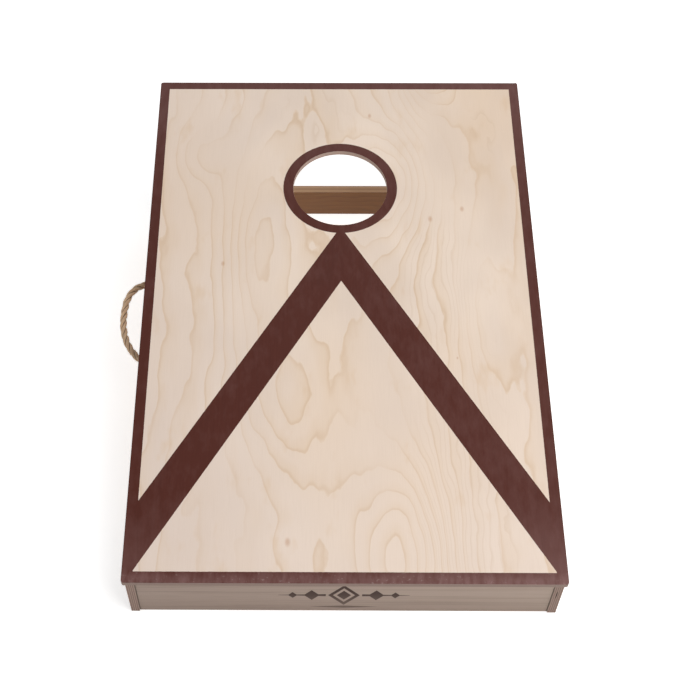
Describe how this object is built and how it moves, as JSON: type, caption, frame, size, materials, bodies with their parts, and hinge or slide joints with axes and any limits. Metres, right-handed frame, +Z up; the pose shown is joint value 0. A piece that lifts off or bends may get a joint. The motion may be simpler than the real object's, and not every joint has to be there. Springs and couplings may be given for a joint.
{
  "type": "cornhole board",
  "caption": "Sloping plywood target deck with a round hole, on a shallow frame with folding rear legs, a crossbar and a rope carrying handle.",
  "frame": {"origin": "on the floor, under the middle of the length and width of the board with its legs folded out, the rope handle left out", "axes": "+Z up, +Y from the low front edge to the raised rear edge, +X to the right seen from the front"},
  "size_m": [0.6403, 0.9304, 0.2997],
  "materials": {
    "deck_plywood": "clear-coated birch veneer with painted dark brown border, ring and triangle",
    "rail_plywood": "thin grey-brown stain over birch plywood, grain along the rail",
    "inner_plywood": "bare birch plywood",
    "inner_timber": "bare planed pine",
    "leg_plywood": "dark brown stain",
    "zinc_steel": "bright zinc plate",
    "screw_steel": "yellow-grey zinc plate",
    "nylon": "natural nylon",
    "jute_rope": "three-strand twisted jute, hairy and matt"
  },
  "bodies": {
    "board": {"deck": "deck_plywood", "front_rail": "rail_plywood", "rear_rail": "rail_plywood", "left_rail": "rail_plywood", "right_rail": "rail_plywood", "centre_brace": "inner_plywood", "corner_block_left": "inner_timber", "corner_block_right": "inner_timber", "batten_front": "inner_timber", "batten_rear": "inner_timber", "batten_left": "inner_timber", "batten_right": "inner_timber", "pivot_bolt_left": "zinc_steel", "pivot_bolt_right": "zinc_steel", "leg_spacer_left": "nylon", "leg_spacer_right": "nylon", "nut_washer_left": "zinc_steel", "nut_washer_right": "zinc_steel", "rope_handle": "jute_rope", "rope_knot_front": "jute_rope", "rope_knot_rear": "jute_rope", "front_screw_left_1": "screw_steel", "front_screw_left_2": "screw_steel", "front_screw_right_1": "screw_steel", "front_screw_right_2": "screw_steel", "rear_screw_left_1": "screw_steel", "rear_screw_left_2": "screw_steel", "rear_screw_right_1": "screw_steel", "rear_screw_right_2": "screw_steel", "brace_screw_left_1": "screw_steel", "brace_screw_left_2": "screw_steel", "brace_screw_right_1": "screw_steel", "brace_screw_right_2": "screw_steel", "deck_screw_left_1": "screw_steel", "deck_screw_left_2": "screw_steel", "deck_screw_left_3": "screw_steel", "deck_screw_left_4": "screw_steel", "deck_screw_right_1": "screw_steel", "deck_screw_right_2": "screw_steel", "deck_screw_right_3": "screw_steel", "deck_screw_right_4": "screw_steel", "deck_screw_front_1": "screw_steel", "deck_screw_front_2": "screw_steel", "deck_screw_front_3": "screw_steel", "deck_screw_rear_1": "screw_steel", "deck_screw_rear_2": "screw_steel", "deck_screw_rear_3": "screw_steel"},
    "legs": {"leg_left": "leg_plywood", "leg_right": "leg_plywood", "leg_crossbar": "leg_plywood", "bar_screw_left_1": "screw_steel", "bar_screw_left_2": "screw_steel", "bar_screw_right_1": "screw_steel", "bar_screw_right_2": "screw_steel"},
    "wing_nut_left": {"wing_nut_left": "zinc_steel"},
    "wing_nut_right": {"wing_nut_right": "zinc_steel"}
  },
  "joints": [
    {"name": "legs_fold", "type": "hinge", "parent": "board", "child": "legs", "pos_m": [0, 0.37887, 0.23615], "axis": [-1, 0, 0], "range_deg": [0, 90]},
    {"name": "wing_nut_left_turn", "type": "hinge", "parent": "board", "child": "wing_nut_left", "pos_m": [-0.2602, 0.37887, 0.23615], "axis": [-1, 0, 0], "continuous": true},
    {"name": "wing_nut_right_turn", "type": "hinge", "parent": "board", "child": "wing_nut_right", "pos_m": [0.2602, 0.37887, 0.23615], "axis": [1, 0, 0], "continuous": true}
  ]
}
